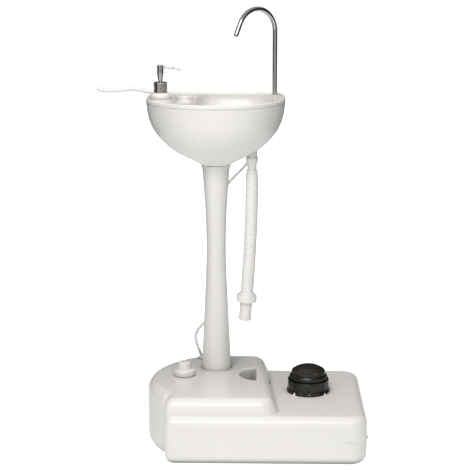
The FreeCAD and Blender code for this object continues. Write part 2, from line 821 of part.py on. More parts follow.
def drain():
    floor_under = bowl_floor - basin_wall
    strainer = turned("", [(0, bowl_floor - 1.5), (8.5, bowl_floor - 1.5), (8.5, 688), (10.5, 688),
                           (10.5, bowl_floor + 0.1), (19, bowl_floor + 0.1), (19, bowl_floor + 1),
                           (14, bowl_floor + 1.6), (9, bowl_floor), (0, bowl_floor)],
                      drain_x)
    holes = [cylinder(1.3, bowl_floor - 5, bowl_floor + 5, drain_x + reach * math.cos(math.radians(angle)),
                      reach * math.sin(math.radians(angle)))
             for reach, step in ((2.6, 120), (6.1, 60)) for angle in range(0, 360, step)]
    keep("drain_strainer", cut(strainer, *holes))
    ring("drain_gasket", 17, 10.6, floor_under - 2, floor_under, drain_x)
    hexagon("drain_nut", 28, 10.6, floor_under - 8, floor_under - 2, drain_x, 0)
    turned("drain_tail", [(8.6, 687.9), (8.6, 660), (12.4, 660), (12.4, 687.9)], drain_x)
    turned("hose_cuff",
           [(8.6, 640), (15.2, 640), (15.2, 642), (10.4, 643), (11.2, 655), (14.5, 665), (14.5, 673),
            (12.4, 673), (12.4, 660), (8.6, 660)],
           drain_x)


drain()

hose_route = [(85, 0, 640), (85, 0, 570), (82.5, 1, 490), (78.5, 1, 410), (73.5, 2, 339)]
tube("drain_hose", hose_route, hose_radius, hose_bore, quiet=False)


def hose_end():
    """The outlet fitting on the free end, in line with the last run of the hose."""
    last = Vector(*hose_route[-1])
    along = (Vector(*hose_route[-2]) - last).normalize()
    frame = Placement(last, Rotation(UP, along))
    collar = turned("hose_collar", [(12.5, 0), (24.5, -2), (24.5, -16), (22.5, -18.5), (14.6, -18.5),
                                    (14.6, -3), (12.5, -3)])
    pipe = turned("hose_pipe", [(12.5, -3.1), (14.5, -3.1), (14.5, -20), (15, -20), (15, -64), (14, -65),
                                (12.5, -65)])
    collar.Placement = frame
    pipe.Placement = frame


hose_end()


# ---- faucet ------------------------------------------------------------------------------------

def faucet():
    deck_top = num(rim_top - deck_drop)
    under = deck_top - num(basin_wall)
    bore = faucet_radius + run_fit
    groove = 6.25
    flange = 11
    sleeve = turned("", [(0, 774), (shank_radius, 774), (shank_radius, deck_top + 0.1),
                         (flange, deck_top + 0.1), (flange, deck_top + 1.6), (bore, deck_top + 1.6),
                         (bore, 798), (groove, 798), (groove, 796), (bore, 796), (bore, 791), (groove, 791),
                         (groove, 789), (bore, 789), (bore, 781.9), (0, 781.9)],
                    faucet_x, faucet_y)
    tube_end = Vector(*supply_route[-1])
    rise = (tube_end - Vector(*supply_route[-2])).normalize()
    nipple_top = tube_end + rise * 7.6
    nipple = rod_between(tube_end - rise * 11, nipple_top, 2.65)
    water_way = rod_between(tube_end - rise * 13, nipple_top + rise * 8, 1.8)
    keep("faucet_shank", cut(fuse(sleeve, nipple), water_way))
    rings = [ring("", groove - 0.05, bore, low, low + 1.8, faucet_x, faucet_y)
             for low in (789.1, 796.1)]
    doc.recompute()
    group = made(Part.makeCompound([item.Shape for item in rings]), "Rings")
    keep("faucet_seals", group)
    ring("faucet_washer", 11, shank_radius + 0.1, under - 2, under, faucet_x, faucet_y)
    hexagon("faucet_nut", 18, shank_radius + 0.05, under - 9, under - 2, faucet_x, faucet_y)

    foot = Vector(num(faucet_x), num(faucet_y), 782)
    turn = math.radians(faucet_turned)
    ahead = Vector(-math.cos(turn), -math.sin(turn), 0)
    bend = num(faucet_bend)
    spring_line = num(total_height - faucet_radius) - bend
    start = Vector(foot.x, foot.y, spring_line)
    centre = start + ahead * bend

    def on_bend(angle):
        angle = math.radians(angle)
        return centre - ahead * bend * math.cos(angle) + UP * bend * math.sin(angle)

    sweep = math.radians(faucet_sweep)
    heading = ahead * math.sin(sweep) + UP * math.cos(sweep)
    end = on_bend(faucet_sweep)
    tip = end + heading * num(faucet_tail)
    wire = Part.Wire([Part.LineSegment(foot, start).toShape(),
                      Part.Arc(start, on_bend(faucet_sweep / 2), end).toShape(),
                      Part.LineSegment(end, tip).toShape()])
    spout = swept(wire, num(faucet_radius)).cut(swept(wire, num(faucet_bore)))
    keep("faucet_spout", made(spout, "Spout"))
    insert = Part.makeCylinder(num(faucet_bore), 6, tip - heading * 7, heading)
    insert = insert.cut(Part.makeCylinder(2.6, 10, tip - heading * 9, heading))
    keep("spout_insert", made(insert, "Insert"))


faucet()


# ---- soap dispenser ----------------------------------------------------------------------------

def soap():
    skin = 1.5
    neck = 12
    seat = bottle_mouth + 2
    turned("soap_bottle",
           [(0, bottle_floor), (bottle_floor_radius, bottle_floor), (bottle_radius, 806),
            (bottle_radius, 823), (neck, 823), (neck, bottle_mouth), (neck - skin, bottle_mouth),
            (neck - skin, 821), (bottle_radius - skin, 821), (bottle_radius - skin, 806),
            (bottle_floor_radius - skin, bottle_floor + skin), (0, bottle_floor + skin)],
           soap_x, soap_y, 0, [(10, (bottle_radius, 823)), (2, (bottle_floor_radius, bottle_floor)),
                               (8.5, (bottle_radius - skin, 821))])
    turned("soap_collar",
           [(neck + 0.2, 824.3), (15.8, 824.3), (15.8, 847.5), (6.8, 847.5), (6.8, seat + 0.2),
            (neck + 0.2, seat + 0.2)],
           soap_x, soap_y, 0, [(1.2, (15.8, 847.5))])
    turned("soap_cylinder",
           [(1.2, 776), (1.9, 776), (1.9, 785), (6, 787), (6, bottle_mouth), (11.5, bottle_mouth),
            (11.5, seat), (3.05, seat), (3.05, 830), (4.6, 830), (4.6, 794), (2.7, 794), (2.7, 787), (1.2, 787)],
           soap_x, soap_y)
    turned("soap_stem",
           [(1.2, 812), (4.55, 812), (4.55, 818), (3, 819), (3, 863), (1.2, 863)], soap_x, soap_y)
    coil("soap_spring", 3.6, 0.35, 794.1, 811.9, 5, soap_x, soap_y)
    ball = feature("Part::Sphere")
    bind(ball, Radius=2)
    keep("soap_ball", place(ball, soap_x, soap_y, 788.65))
    ring("soap_dip_tube", 2.7, 1.95, 771, 784.9, soap_x, soap_y)

    head = turned("", [(3.05, 846.8), (4.9, 846.8), (5, 851), (6.3, 859.5), (7.2, 867), (7.2, soap_top),
                       (0, soap_top), (0, 863.2), (3.05, 863.2)],
                  soap_x, soap_y, 0, [(2, (7.2, soap_top))])
    reach = 48
    droop = 6
    start = Vector(num(soap_x) + 3, num(soap_y), num(soap_top) - 5)
    end = start + Vector(reach - 3, 0, -droop)
    middle = start + Vector(reach * 0.5, 0, -droop * 0.22)
    nozzle = swept(Part.Wire([Part.Arc(start, middle, end).toShape()]), 1.7)
    keep("soap_head", fuse(head, made(nozzle)))


soap()


# ---- towel bar ---------------------------------------------------------------------------------

def towel():
    deck_top = num(rim_top - deck_drop)
    snug = num(towel_radius) + 0.05
    rest = deck_top + snug
    route = [(-118, towel_y, rest), (-166, towel_y, rest + 1.5), (-193, 98, 824), (-275, 98, 815),
             (-288, 98, 823.5)]
    tube("towel_bar", route, towel_radius)
    clip_left = clip_screw_x - 8
    clip_right = clip_screw_x + 8
    flange = rounded(box(clip_left, clip_right, 84, 111, deck_top, deck_top + 3), 3, upright)
    crown = deck_top + 11.3

    def shoulder(spot, edge):
        return spot.z > crown - 0.1 and abs(edge.tangentAt(edge.FirstParameter).x) > 0.9

    hump = rounded(box(clip_left, clip_right, towel_y - 6.2, towel_y + 6.2, deck_top, crown), 4, shoulder)
    channel = rod_between(route[0], route[1], snug, 20)
    bar_slot = box(-160, -110, towel_y - snug, towel_y + snug, deck_top - 1, deck_top + snug)
    screw_holes = [cylinder(1.6, deck_top - 1, deck_top + 5, clip_screw_x, y) for y in clip_screw_places]
    keep("towel_clip", cut(fuse(flange, hump), channel, bar_slot, *screw_holes))
    screw = [(0, deck_top - 2.5), (1.5, deck_top - 2.5), (1.5, deck_top + 3.02), (2.5, deck_top + 3.02),
             (2.5, deck_top + 4.4), (0, deck_top + 4.4)]
    heads = [turned("", screw, clip_screw_x, y) for y in clip_screw_places]
    doc.recompute()
    keep("clip_screws", made(Part.makeCompound([item.Shape for item in heads]), "Screws"))


towel()


# ---- checks and files --------------------------------------------------------------------------

doc.recompute()
for thing in doc.Objects:
    if "Invalid" in thing.State or "Error" in thing.State:
        raise RuntimeError(f"{thing.Name} ({thing.Label}) did not compute: {thing.State}")
for label, thing in nodes.items():
    if thing.Shape.isNull() or not thing.Shape.isValid():
        raise RuntimeError(f"{label} has no valid shape")

os.makedirs("parts", exist_ok=True)
for label, thing in nodes.items():
    thing.Shape.exportStep(f"parts/{label}.step")
    box_of = thing.Shape.BoundBox
    print(f"{label:20s} solids {len(thing.Shape.Solids)} volume {thing.Shape.Volume / 1000:9.2f} cm3 "
          f"x {box_of.XMin:7.1f} {box_of.XMax:7.1f} y {box_of.YMin:7.1f} {box_of.YMax:7.1f} "
          f"z {box_of.ZMin:7.1f} {box_of.ZMax:7.1f}")
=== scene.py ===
import json
import math

import bpy
from mathutils import Euler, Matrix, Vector


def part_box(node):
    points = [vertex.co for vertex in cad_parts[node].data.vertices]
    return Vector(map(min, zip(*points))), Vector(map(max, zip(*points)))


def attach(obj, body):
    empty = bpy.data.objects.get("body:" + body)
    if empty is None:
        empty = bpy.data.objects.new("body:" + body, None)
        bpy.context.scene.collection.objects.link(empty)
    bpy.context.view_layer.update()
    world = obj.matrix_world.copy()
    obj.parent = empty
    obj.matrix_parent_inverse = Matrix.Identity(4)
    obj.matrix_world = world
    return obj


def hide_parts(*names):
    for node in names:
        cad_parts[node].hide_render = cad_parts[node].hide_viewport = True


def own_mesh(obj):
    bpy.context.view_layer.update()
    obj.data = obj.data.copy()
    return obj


# Looks of the portable handwash sink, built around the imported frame. Lengths are metres unless a
# name ends in _mm; the profiles of turned pieces are (radius, height, rounding) in millimetres.

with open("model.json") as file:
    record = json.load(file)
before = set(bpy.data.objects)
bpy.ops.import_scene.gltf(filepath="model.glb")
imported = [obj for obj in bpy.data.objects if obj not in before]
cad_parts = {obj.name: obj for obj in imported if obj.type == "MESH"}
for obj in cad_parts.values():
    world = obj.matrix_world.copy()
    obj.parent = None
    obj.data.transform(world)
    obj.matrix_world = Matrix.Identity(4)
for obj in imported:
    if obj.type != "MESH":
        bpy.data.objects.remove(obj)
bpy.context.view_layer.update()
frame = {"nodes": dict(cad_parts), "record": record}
nodes = frame["nodes"]
MM = 0.001
TURN = 2 * math.pi


# ---- camera ------------------------------------------------------------------------------------

def camera():
    lens = bpy.data.cameras.new("camera")
    lens.lens = 100.34
    lens.sensor_width = 36
    lens.clip_end = 40
    eye = bpy.data.objects.new("camera", lens)
    eye.location = (0.1036, -3.0526, 1.167)
    eye.rotation_euler = Euler((math.radians(77.4), 0, math.radians(1.1)))
    bpy.context.collection.objects.link(eye)
    bpy.context.scene.camera = eye


camera()


# ---- materials ---------------------------------------------------------------------------------

# How far the painted crevice shade reaches, in millimetres.
PAINTED_SHADE_REACH_MM = 35.0
GRAINS_A_SPECK = 6


def add(tree, kind, **inputs):
    """A new shader node with the named inputs set; a tuple of (node, output) links instead."""
    node = tree.nodes.new(kind)
    for name, value in inputs.items():
        socket = node.inputs[name.replace("_", " ")]
        if isinstance(value, tuple) and isinstance(value[0], bpy.types.Node):
            tree.links.new(value[0].outputs[value[1]], socket)
        else:
            socket.default_value = value
    return node


def span(tree, source, low, high):
    """Map a 0 to 1 factor on to low to high."""
    node = add(tree, "ShaderNodeMapRange", Value=source)
    node.inputs["To Min"].default_value = low
    node.inputs["To Max"].default_value = high
    return node


def per_metre(size_mm):
    """How many features of a size fit in a metre, which is a texture's scale."""
    return 1000 / size_mm


def painted_crevice_shade(tree, colour, depth_mm, darkest):
    """The colour with painted shade: darker where the form closes in on itself, as in a slot or a seam.
    """
    # Painted shade: ambient occlusion darkens the colour where shade would fall.
    crevice_occlusion = tree.nodes.new("ShaderNodeAmbientOcclusion")
    crevice_occlusion.samples = 6
    crevice_occlusion.inputs["Distance"].default_value = depth_mm * MM
    level = span(tree, (crevice_occlusion, "AO"), darkest, 1.0)
    level.inputs["From Min"].default_value = 0.2
    level.inputs["From Max"].default_value = 0.75
    scale = tree.nodes.new("ShaderNodeVectorMath")
    scale.operation = "SCALE"
    tree.links.new(colour, scale.inputs[0])
    tree.links.new(level.outputs["Result"], scale.inputs["Scale"])
    return scale.outputs["Vector"]


def surface(name, colour, shade, rough, rough_spread, grain_mm, grain_depth_mm, cloud_mm=90.0,
            pits=False, darkest=0.55, **sockets):
    """A moulded or metal surface: cloudy colour, uneven gloss and a fine grain, all procedural.

    colour and shade are the two linear colours that the clouds mix between, grain_mm is the size
    of the grain and grain_depth_mm how deep it is. pits makes the grain round pits. The colour is
    then darkened by painted shade in crevices; darkest is the share of the colour that this painted
    shade leaves in the deepest crevice.
    """
    material = bpy.data.materials.new(name)
    material.use_nodes = True
    tree = material.node_tree
    shader = tree.nodes["Principled BSDF"]
    for socket, value in sockets.items():
        shader.inputs[socket.replace("_", " ")].default_value = value
    place = add(tree, "ShaderNodeTexCoord")
    where = (place, "Object")
    clouds = add(tree, "ShaderNodeTexNoise", Vector=where, Scale=per_metre(cloud_mm),
                 Detail=4.0, Roughness=0.55)
    specks = add(tree, "ShaderNodeTexNoise", Vector=where, Scale=per_metre(grain_mm * GRAINS_A_SPECK),
                 Detail=3.0, Roughness=0.6)
    blend = add(tree, "ShaderNodeMath", Value=(clouds, "Fac"))
    blend.operation = "MULTIPLY"
    tree.links.new(specks.outputs["Fac"], blend.inputs[1])
    factor = span(tree, (blend, "Value"), 0.0, 1.0)
    factor.inputs["From Min"].default_value = 0.12
    factor.inputs["From Max"].default_value = 0.40
    mix = tree.nodes.new("ShaderNodeMix")
    mix.data_type = "RGBA"
    mix.inputs["A"].default_value = (*shade, 1)
    mix.inputs["B"].default_value = (*colour, 1)
    tree.links.new(factor.outputs["Result"], mix.inputs["Factor"])
    # Painted shade: the cloudy colour is darkened where ambient occlusion finds crevices, slots and
    # seams.
    tree.links.new(painted_crevice_shade(tree, mix.outputs["Result"], PAINTED_SHADE_REACH_MM, darkest), shader.inputs["Base Color"])
    gloss = span(tree, (specks, "Fac"), rough - rough_spread, rough + rough_spread)
    tree.links.new(gloss.outputs["Result"], shader.inputs["Roughness"])
    if pits:
        grain = add(tree, "ShaderNodeTexVoronoi", Vector=where, Scale=per_metre(grain_mm))
        height = (grain, "Distance")
    else:
        grain = add(tree, "ShaderNodeTexNoise", Vector=where, Scale=per_metre(grain_mm),
                    Detail=2.0, Roughness=0.5)
        height = (grain, "Fac")
    bump = add(tree, "ShaderNodeBump", Height=height, Strength=0.6, Distance=grain_depth_mm * MM)
    tree.links.new(bump.outputs["Normal"], shader.inputs["Normal"])
    return material


def metal(name, colour, rough, streak):
    """Bright metal with faint fine scratches; streak is how uneven its gloss is."""
    material = bpy.data.materials.new(name)
    material.use_nodes = True
    tree = material.node_tree
    shader = tree.nodes["Principled BSDF"]
    shader.inputs["Metallic"].default_value = 1.0
    place = add(tree, "ShaderNodeTexCoord")
    stretch = add(tree, "ShaderNodeMapping", Vector=(place, "Object"))
    stretch.inputs["Scale"].default_value = (1, 1, 0.08)
    lines = add(tree, "ShaderNodeTexNoise", Vector=(stretch, "Vector"), Scale=900, Detail=3.0)
    smears = add(tree, "ShaderNodeTexNoise", Vector=(place, "Object"), Scale=35, Detail=3.0)
    gloss = span(tree, (smears, "Fac"), max(rough - streak, 0.02), rough + streak)
    tree.links.new(gloss.outputs["Result"], shader.inputs["Roughness"])
    mix = tree.nodes.new("ShaderNodeMix")
    mix.data_type = "RGBA"
    mix.inputs["A"].default_value = (*[value * 0.9 for value in colour], 1)
    mix.inputs["B"].default_value = (*colour, 1)
    tree.links.new(smears.outputs["Fac"], mix.inputs["Factor"])
    tree.links.new(mix.outputs["Result"], shader.inputs["Base Color"])
    bump = add(tree, "ShaderNodeBump", Height=(lines, "Fac"), Strength=0.25, Distance=0.02 * MM)
    tree.links.new(bump.outputs["Normal"], shader.inputs["Normal"])
    return material


WARM_WHITE = (0.80, 0.795, 0.772), (0.79, 0.785, 0.762)
CLEAN_WHITE = (0.82, 0.815, 0.80), (0.80, 0.795, 0.78)
HOSE_WHITE = (0.86, 0.855, 0.845), (0.85, 0.845, 0.835)
NEAR_BLACK = (0.010, 0.008, 0.006), (0.017, 0.014, 0.011)
MID_GREY = (0.22, 0.22, 0.22), (0.16, 0.16, 0.16)
CLEAR = (0.90, 0.91, 0.90), (0.88, 0.89, 0.88)

# Each finish's darkest sets how far its painted crevice shade darkens it.
looks = {
    "tank_plastic": surface(
        "blow_moulded_white", *WARM_WHITE, rough=0.28, rough_spread=0.015, grain_mm=7.0,
        grain_depth_mm=0.004, cloud_mm=160.0, darkest=0.28, Specular_IOR_Level=0.45),
    "basin_plastic": surface(
        "moulded_white", *WARM_WHITE, rough=0.30, rough_spread=0.03, grain_mm=6.0,
        grain_depth_mm=0.015, cloud_mm=160.0, darkest=0.4, Specular_IOR_Level=0.5),
    "white_plastic": surface(
        "smooth_white", *CLEAN_WHITE, rough=0.26, rough_spread=0.04, grain_mm=1.0,
        grain_depth_mm=0.02, Specular_IOR_Level=0.5),
    "hose_plastic": surface(
        "hose_white", *HOSE_WHITE, rough=0.34, rough_spread=0.02, grain_mm=3.0,
        grain_depth_mm=0.005, cloud_mm=60.0, darkest=0.8),
    "black_rubber": surface(
        "black_rubber", *NEAR_BLACK, rough=0.27, rough_spread=0.06, grain_mm=0.8,
        grain_depth_mm=0.06, cloud_mm=30.0, pits=True),
    "black_plastic": surface(
        "black_plastic", *NEAR_BLACK, rough=0.24, rough_spread=0.06, grain_mm=0.9,
        grain_depth_mm=0.05, cloud_mm=30.0),
    "grey_rubber": surface(
        "grey_rubber", *MID_GREY, rough=0.60, rough_spread=0.08, grain_mm=0.8,
        grain_depth_mm=0.05, cloud_mm=25.0),
    "clear_tube": surface(
        "clear_tube", *CLEAR, rough=0.25, rough_spread=0.03, grain_mm=2.5,
        grain_depth_mm=0.01, cloud_mm=30.0, darkest=0.9, Alpha=0.38),
    "bright_metal": metal("chrome", (0.54, 0.525, 0.51), rough=0.14, streak=0.03),
    "steel": metal("plain_steel", (0.58, 0.58, 0.58), rough=0.28, streak=0.06),
}


def finish_cad():
    """Give every CAD node the material of its slot."""
    for part in frame["record"]["subparts"]:
        shape = nodes[part["node"]].data
        shape.materials.clear()
        shape.materials.append(looks[part["material_slot"]])


finish_cad()


# ---- making pieces -----------------------------------------------------------------------------

def piece(name, points, faces, slot, body, replaced, crease=40):
    """A new mesh piece that rides on a body, takes a slot's finish and stands for CAD nodes."""
    mesh = bpy.data.meshes.new(name)
    mesh.from_pydata(points, [], faces)
    return settle(name, mesh, slot, body, replaced, crease)


def settle(name, mesh, slot, body, replaced, crease=40):
    """Shade a mesh smooth except past the crease angle, and set it up as a piece."""
    mesh.update()
    mesh.polygons.foreach_set("use_smooth", [True] * len(mesh.polygons))
    mesh.set_sharp_from_angle(angle=math.radians(crease))
    mesh.materials.clear()
    mesh.materials.append(looks[slot])
    thing = bpy.data.objects.new(name, mesh)
    bpy.context.collection.objects.link(thing)
    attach(thing, body)
    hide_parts(*replaced)
    return thing


ARC_STEPS = 6
MOST_OF_A_SIDE = 0.49
ON_AXIS_MM = 0.001


def rounded_outline(corners, closed, step):
    """The corners with their roundings drawn as curves, and no gap longer than step."""
    line = []
    count = len(corners)
    for index, corner in enumerate(corners):
        spot = Vector(corner[:2])
        trim = corner[2] if len(corner) > 2 else 0
        if not trim:
            line.append(spot)
            continue
        back = Vector(corners[index - 1][:2]) - spot
        ahead = Vector(corners[(index + 1) % count][:2]) - spot
        start = spot + back.normalized() * min(trim, MOST_OF_A_SIDE * back.length)
        end = spot + ahead.normalized() * min(trim, MOST_OF_A_SIDE * ahead.length)
        for number in range(ARC_STEPS + 1):
            share = number / ARC_STEPS
            line.append(start * (1 - share) ** 2 + spot * 2 * share * (1 - share) + end * share ** 2)
    fine = []
    pairs = zip(line, line[1:] + line[:1]) if closed else zip(line, line[1:])
    for here, after in pairs:
        parts = max(1, math.ceil((after - here).length / step))
        fine += [here.lerp(after, number / parts) for number in range(parts)]
    if not closed:
        fine.append(line[-1])
    return fine


def turned(corners, closed=False, sides=96, step=3.0, relief=None):
    """Points (mm) and faces of a turned form. Its outer wall runs upwards in corners.

    relief(angle, radius, height) says how far a point stands proud of the plain form.
    """
    line = rounded_outline(corners, closed, step)
    count = len(line)
    points = []
    rings = []
    for index, spot in enumerate(line):
        before = line[index - 1] if closed or index else spot
        after = line[(index + 1) % count] if closed or index < count - 1 else spot
        run = (after - before).normalized()
        if spot.x < ON_AXIS_MM:
            rings.append([len(points)])
            points.append((0, 0, spot.y))
            continue
        rings.append(list(range(len(points), len(points) + sides)))
        for side in range(sides):
            angle = TURN * side / sides
            proud = relief(angle, spot.x, spot.y) if relief else 0
            radius = spot.x + run.y * proud
            points.append((radius * math.cos(angle), radius * math.sin(angle), spot.y - run.x * proud))
    faces = []
    joins = zip(rings, rings[1:] + rings[:1]) if closed else zip(rings, rings[1:])
    for low, high in joins:
        for side in range(sides):
            after = (side + 1) % sides
            if len(low) == 1:
                faces.append((low[0], high[after], high[side]))
            elif len(high) == 1:
                faces.append((low[side], low[after], high[0]))
            else:
                faces.append((low[side], low[after], high[after], high[side]))
    return points, faces


def placed(points, origin, turn=None):
    """Points in millimetres moved to their place in the frame, in metres."""
    spots = [Vector(point) * MM for point in points]
    if turn:
        spots = [turn @ spot for spot in spots]
    return [spot + origin for spot in spots]


def middle(node):
    low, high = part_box(node)
    return (low + high) / 2


def smooth_line(route):
    """Points along the smooth curve that a route's points control."""
    curve = bpy.data.curves.new("line", "CURVE")
    curve.dimensions = "3D"
    curve.resolution_u = 24
    spline = curve.splines.new("NURBS")
    spline.points.add(len(route) - 1)
    for point, spot in zip(spline.points, route):
        point.co = (*spot, 1)
    spline.order_u = 3
    spline.use_endpoint_u = True
    holder = bpy.data.objects.new("line", curve)
    bpy.context.collection.objects.link(holder)
    mesh = bpy.data.meshes.new_from_object(holder)
    line = [vertex.co.copy() for vertex in mesh.vertices]
    bpy.data.objects.remove(holder)
    return line


def walked(line, step):
    """Points at even distances along a line, with the distance of each."""
    total = sum((after - here).length for here, after in zip(line, line[1:]))
    count = max(2, round(total / step))
    spots = [(0.0, line[0])]
    gone = 0.0
    for here, after in zip(line, line[1:]):
        length = (after - here).length
        while len(spots) < count and gone + length >= total * len(spots) / count:
            distance = total * len(spots) / count
            spots.append((distance, here.lerp(after, (distance - gone) / length)))
        gone += length
    spots.append((total, line[-1]))
    return spots, total


def sleeve(line, radius_at, step, sides=32, bore=0.0):
    """A round tube along a line. radius_at(distance, total) is its outer radius, all in metres."""
    spots, total = walked(line, step)
    points = []
    rings = []
    across = Vector((0, 1, 0))
    for index, (distance, spot) in enumerate(spots):
        before = spots[max(index - 1, 0)][1]
        after = spots[min(index + 1, len(spots) - 1)][1]
        ahead = (after - before).normalized()
        across = (across - ahead * across.dot(ahead)).normalized()
        beside = ahead.cross(across)
        ring = []
        for side in range(sides):
            angle = TURN * side / sides
            out = across * math.cos(angle) + beside * math.sin(angle)
            ring.append(out)
        rings.append((spot, ring, radius_at(distance, total)))
    skins = [(False, [radius for _, _, radius in rings])]
    if bore:
        skins.append((True, [bore] * len(rings)))
    faces = []
    for inward, radii in skins:
        first = len(points)
        for (spot, ring, _), radius in zip(rings, radii):
            points += [spot + out * radius for out in ring]
        for row in range(len(rings) - 1):
            for side in range(sides):
                low = first + row * sides
                after = (side + 1) % sides
                quad = (low + side, low + after, low + sides + after, low + sides + side)
                faces.append(quad[::-1] if inward else quad)
    last = (len(rings) - 1) * sides
    if bore:
        inner = len(rings) * sides
        for side in range(sides):
            after = (side + 1) % sides
            faces.append((after, side, inner + side, inner + after))
            faces.append((last + side, last + after, inner + last + after, inner + last + side))
    else:
        faces.append(tuple(range(sides))[::-1])
        faces.append(tuple(range(last, last + sides)))
    return points, faces


def round_ended(radius, nose):
    """A radius that falls to nearly nothing in a round nose at both ends."""
    def radius_at(distance, total):
        left = min(distance, total - distance)
        if left >= nose:
            return radius
        share = 1 - left / nose
        return radius * max(0.05, math.sqrt(1 - share * share))
    return radius_at


# ---- tank and basin: soft moulded edges --------------------------------------------------------

def softened(name, node, voxel, rounds, slot, body):
    """A CAD node with its edges softened as moulded plastic has them.

    voxel is the new mesh's cell in metres, and rounds is how often it is smoothed.
    """
    work = bpy.data.objects.new(name, nodes[node].data.copy())
    bpy.context.collection.objects.link(work)
    remesh = work.modifiers.new("remesh", "REMESH")
    remesh.mode = "VOXEL"
    remesh.voxel_size = voxel
    smooth = work.modifiers.new("smooth", "SMOOTH")
    smooth.factor = 0.5
    smooth.iterations = rounds
    settled = work.evaluated_get(bpy.context.evaluated_depsgraph_get())
    mesh = bpy.data.meshes.new_from_object(settled)
    bpy.data.objects.remove(work)
    return settle(name, mesh, slot, body, [node], 80)


def corner_path(reach, height, start_x, end_y):
    """A line round the tank's right-hand end, from its front face to its right face."""
    low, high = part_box("tank")
    corner = 0.040
    lip_at_end = 0.0025
    lip_in_front = 0.0004
    arc_steps = 16
    right = high.x - lip_at_end + reach
    front = low.y + lip_in_front - reach
    centre = Vector((right - corner, front + corner, height))
    line = [Vector((start_x, front, height)), Vector((centre.x, front, height))]
    for number in range(1, arc_steps + 1):
        angle = math.radians(-90 + 90 * number / arc_steps)
        line.append(centre + corner * Vector((math.cos(angle), math.sin(angle), 0)))
    line.append(Vector((right, end_y, height)))
    return line


def mould_line():
    """The parting ridge at the right-hand end: thin in front and proud round the corner."""
    thin = 0.0006
    swell = 0.0018
    swell_run = 0.05

    def radius_at(distance, total):
        return thin + swell * min(1, distance / swell_run)

    path = corner_path(reach=0.0005, height=0.0590, start_x=0.300, end_y=0.070)
    points, faces = sleeve(path, radius_at, 0.002, sides=16)
    piece("tank_mould_line", points, faces, "tank_plastic", "stand", [])


def column_seat():
    """The low ring that the column stands in."""
    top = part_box("column")[0].z
    corners = [(36.3, -1.5), (40.8, -1.5), (40.2, 1.8, 1.0), (37.8, 2.3, 0.8), (36.6, 0.2, 0.4)]
    points, faces = turned(corners, closed=True, sides=128, step=1.5)
    piece("column_seat_ring", placed(points, Vector((0, 0, top))), faces, "tank_plastic", "stand", [])


softened("tank_shell", "tank", voxel=0.0018, rounds=12, slot="tank_plastic", body="stand")
mould_line()
column_seat()
softened("basin_top", "basin_bowl", voxel=0.0014, rounds=9, slot="basin_plastic", body="stand")


# ---- fill cap ----------------------------------------------------------------------------------

def fill_cap():
    low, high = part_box("fill_cap")
    centre = (low + high) / 2
    grips = 30
    grip_mm = 0.22
    foot = 0.4

    def relief(angle, radius, height):
        if radius > 24 and 2 < height < 13:
            return grip_mm * math.cos(grips * angle)
        return 0

    corners = [(0, 12), (21, 12), (21, foot), (24.6, foot, 0.6), (25.7, 3, 1), (25.4, 13.5, 3),
               (22, 16, 2.5), (16.2, 16.4, 1.6), (15.4, 20, 2), (14.8, 31, 3), (12, 34.4, 3.5),
               (0, 35, 4)]
    points, faces = turned(corners, sides=180, step=1.5, relief=relief)
    base = Vector((centre.x, centre.y, low.z - foot * MM))
    piece("fill_cap_moulding", placed(points, base), faces, "white_plastic", "cap", ["fill_cap"])


fill_cap()


# ---- foot pump ---------------------------------------------------------------------------------

PUMP = middle("pump_dome")
BEDDING_MM = 0.3
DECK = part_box("pump_collar")[0].z - BEDDING_MM * MM
PUMP_BASE = Vector((PUMP.x, PUMP.y, DECK))


def pump_collar():
    facets = 18
    facet_mm = 0.9
    lug_angles = [math.radians(angle) for angle in (48, 138, 228, 318)]
    half_notch_mm = 3.6
    notch_top_mm = 6.3
    notch_reach_mm = 44.5

    def relief(angle, radius, height):
        if radius > 47 and 5 < height < 26:
            return -facet_mm * abs(math.sin(facets * angle / 2)) ** 6
        return 0

    top = (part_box("pump_collar")[1].z - DECK) / MM
    corners = [(39.4, 0.4), (51.8, 0.4, 0.8), (52, 3, 1), (49, 11, 3), (48.9, top - 5, 1),
               (48.2, top - 4.2, 0.5), (48.9, top - 3.4, 0.5), (48.9, top, 1.6), (46.1, top, 0.8),
               (46.1, 16, 2), (39.4, 12)]
    points, faces = turned(corners, closed=True, sides=288, step=1.2, relief=relief)

    def in_notch(face):
        spots = [points[index] for index in face]
        if max(spot[2] for spot in spots) > notch_top_mm:
            return False
        for lug in lug_angles:
            out = Vector((math.cos(lug), math.sin(lug)))
            aside = Vector((-math.sin(lug), math.cos(lug)))
            flat = [Vector(spot[:2]) for spot in spots]
            beyond = all(spot.dot(out) > notch_reach_mm for spot in flat)
            if beyond and all(abs(spot.dot(aside)) < half_notch_mm for spot in flat):
                return True
        return False

    faces = [face for face in faces if not in_notch(face)]
    piece("pump_clamp_ring", placed(points, PUMP_BASE), faces, "black_plastic", "stand", ["pump_collar"])


def pump_bellows():
    teeth = 36
    tooth_mm = 0.7

    def relief(angle, radius, height):
        if radius > 44:
            return tooth_mm * math.cos(teeth * angle)
        return 0

    low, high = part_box("pump_bellows")
    foot = (low.z - DECK) / MM
    head = (high.z - DECK) / MM
    wall = 2
    outer = [(37, foot, 1), (45, foot + 3, 3), (45, foot + 13, 3), (42.6, foot + 16.5, 2),
             (45, foot + 20, 3), (45, head - 6, 3.5), (40, head - 0.1, 0.5)]
    inner = [(radius - wall, height) for radius, height, _ in reversed(outer)]
    points, faces = turned(outer + inner, closed=True, sides=216, step=1.2, relief=relief)
    bellows = piece("pump_bellows_rubber", placed(points, PUMP_BASE), faces, "black_rubber", "stand",
                    ["pump_bellows"])
    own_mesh(bellows)


